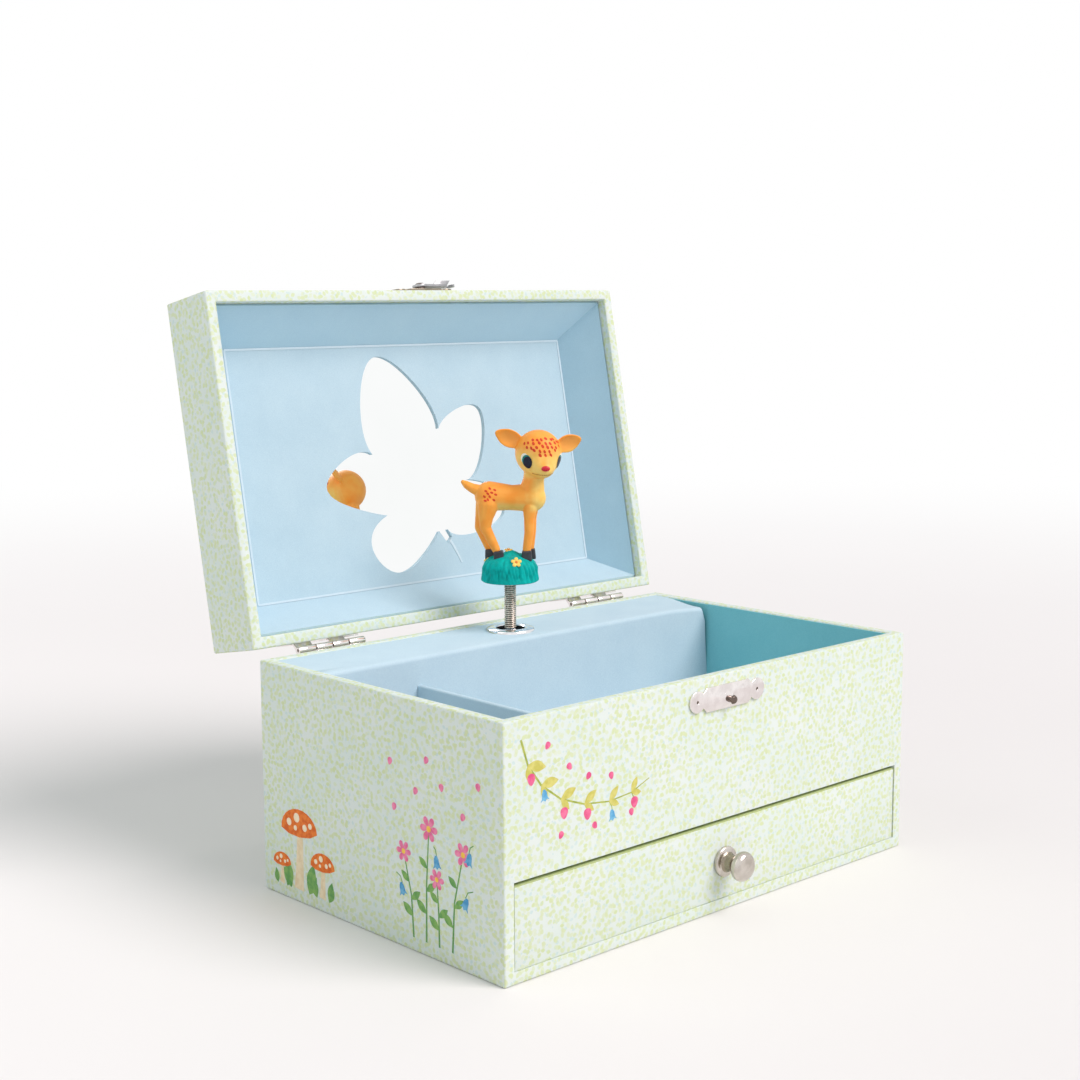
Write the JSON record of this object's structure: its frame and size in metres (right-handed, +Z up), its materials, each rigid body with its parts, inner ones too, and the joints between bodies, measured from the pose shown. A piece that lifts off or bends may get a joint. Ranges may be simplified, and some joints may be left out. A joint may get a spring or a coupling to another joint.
{
  "type": "musical jewellery box",
  "caption": "Paper-covered musical jewellery box with a lined tray, a drawer, a hinged lid with a mirror, and a toy fawn that turns on a coil spring above a clockwork movement.",
  "frame": {"origin": "middle of the base's underside, under the middle of the case", "axes": "+Z up, -Y to the front with the drawer, +X to the right seen from the front"},
  "size_m": [0.22, 0.2088, 0.2336],
  "materials": {
    "printed_board": "fibreboard covered in matt printed paper",
    "plain_board": "fibreboard covered in plain paper",
    "flocked_lining": "flocked, matt",
    "lined_card": "card covered in flocked lining",
    "mirror": "silvered glass",
    "nickel_plate": "bright nickel plate",
    "steel": "plain steel",
    "brass": "turned brass",
    "die_cast": "die-cast zinc",
    "nylon": "moulded nylon",
    "fawn_plastic": "painted, glossy",
    "grass_plastic": "painted, glossy"
  },
  "bodies": {
    "case": {"left_side_board": "printed_board", "right_side_board": "printed_board", "back_board": "printed_board", "front_board": "printed_board", "base_board": "printed_board", "shelf_board": "plain_board", "tray_lining_left": "flocked_lining", "tray_lining_right": "flocked_lining", "tray_lining_front": "flocked_lining", "tray_lining_floor": "flocked_lining", "tray_divider": "lined_card", "music_housing": "lined_card", "grommet": "nickel_plate", "catch_plate": "nickel_plate", "catch_stud": "nickel_plate", "case_nails": "nickel_plate", "case_hinge_leaves": "nickel_plate", "hinge_pins": "steel", "movement_bedplate": "die_cast", "comb": "steel", "comb_screws": "steel", "bearing_bracket": "steel", "governor_bracket": "steel", "movement_screws": "steel"},
    "lid": {"lid_top_board": "printed_board", "lid_front_board": "printed_board", "lid_back_board": "printed_board", "lid_left_board": "printed_board", "lid_right_board": "printed_board", "lid_liner_panel": "lined_card", "lid_flap_front": "lined_card", "lid_flap_back": "lined_card", "lid_flap_left": "lined_card", "lid_flap_right": "lined_card", "mirror": "mirror", "latch_plate": "nickel_plate", "latch_rivet": "nickel_plate", "lid_nails": "nickel_plate", "lid_hinge_leaves": "nickel_plate"},
    "latch_hook": {"latch_hook": "nickel_plate"},
    "drawer": {"drawer_front": "printed_board", "drawer_left_side": "plain_board", "drawer_right_side": "plain_board", "drawer_back": "plain_board", "drawer_bottom": "plain_board", "drawer_lining": "flocked_lining", "drawer_knob": "nickel_plate", "knob_screw": "steel"},
    "spring": {"figure_spring": "steel"},
    "figure": {"fawn": "fawn_plastic", "grass_mound": "grass_plastic", "figure_peg": "steel"},
    "cylinder": {"pinned_cylinder": "brass", "dancer_spindle": "steel"},
    "barrel": {"mainspring_barrel": "brass", "mainspring": "steel"},
    "key": {"winding_key": "steel"},
    "governor": {"governor_wheel": "brass"},
    "fan": {"worm_fan": "nylon"}
  },
  "joints": [
    {"name": "lid_hinge", "type": "hinge", "parent": "case", "child": "lid", "pos_m": [0, 0.0724, 0.0903], "axis": [1, 0, 0], "range_deg": [0, 101]},
    {"name": "latch_swing", "type": "hinge", "parent": "lid", "child": "latch_hook", "pos_m": [0, 0.10467, 0.23062], "axis": [0, -0.1908, -0.9816], "range_deg": [0, 90]},
    {"name": "drawer_slide", "type": "slide", "parent": "case", "child": "drawer", "axis": [0, -1, 0], "range_m": [0, 0.085]},
    {"name": "figure_fold", "type": "hinge", "parent": "case", "child": "spring", "pos_m": [0, 0.0485, 0.0943], "axis": [1, 0, 0], "range_deg": [0, 90]},
    {"name": "figure_spin", "type": "hinge", "parent": "spring", "child": "figure", "pos_m": [0, 0.0485, 0.1], "axis": [0, 0, 1], "continuous": true},
    {"name": "barrel_spin", "type": "hinge", "parent": "case", "child": "barrel", "pos_m": [0, 0.055, 0.052], "axis": [0, 1, 0], "continuous": true},
    {"name": "cylinder_spin", "type": "hinge", "parent": "case", "child": "cylinder", "pos_m": [0, 0.0485, 0.07], "axis": [0, 0, 1], "continuous": true},
    {"name": "governor_spin", "type": "hinge", "parent": "case", "child": "governor", "pos_m": [-0.0098, 0.0445, 0.056], "axis": [0, 0, 1], "continuous": true},
    {"name": "fan_spin", "type": "hinge", "parent": "case", "child": "fan", "pos_m": [-0.0152, 0.05, 0.055], "axis": [0, 1, 0], "continuous": true},
    {"name": "key_wind", "type": "hinge", "parent": "case", "child": "key", "pos_m": [0, 0.07, 0.052], "axis": [0, 1, 0], "continuous": true}
  ],
  "couplings": [
    {"joint": "figure_fold", "follows": "lid_hinge", "ratio": 0.89109},
    {"joint": "figure_spin", "follows": "barrel_spin", "ratio": -4},
    {"joint": "cylinder_spin", "follows": "barrel_spin", "ratio": -4},
    {"joint": "governor_spin", "follows": "barrel_spin", "ratio": 19.556},
    {"joint": "fan_spin", "follows": "barrel_spin", "ratio": 391.11}
  ]
}
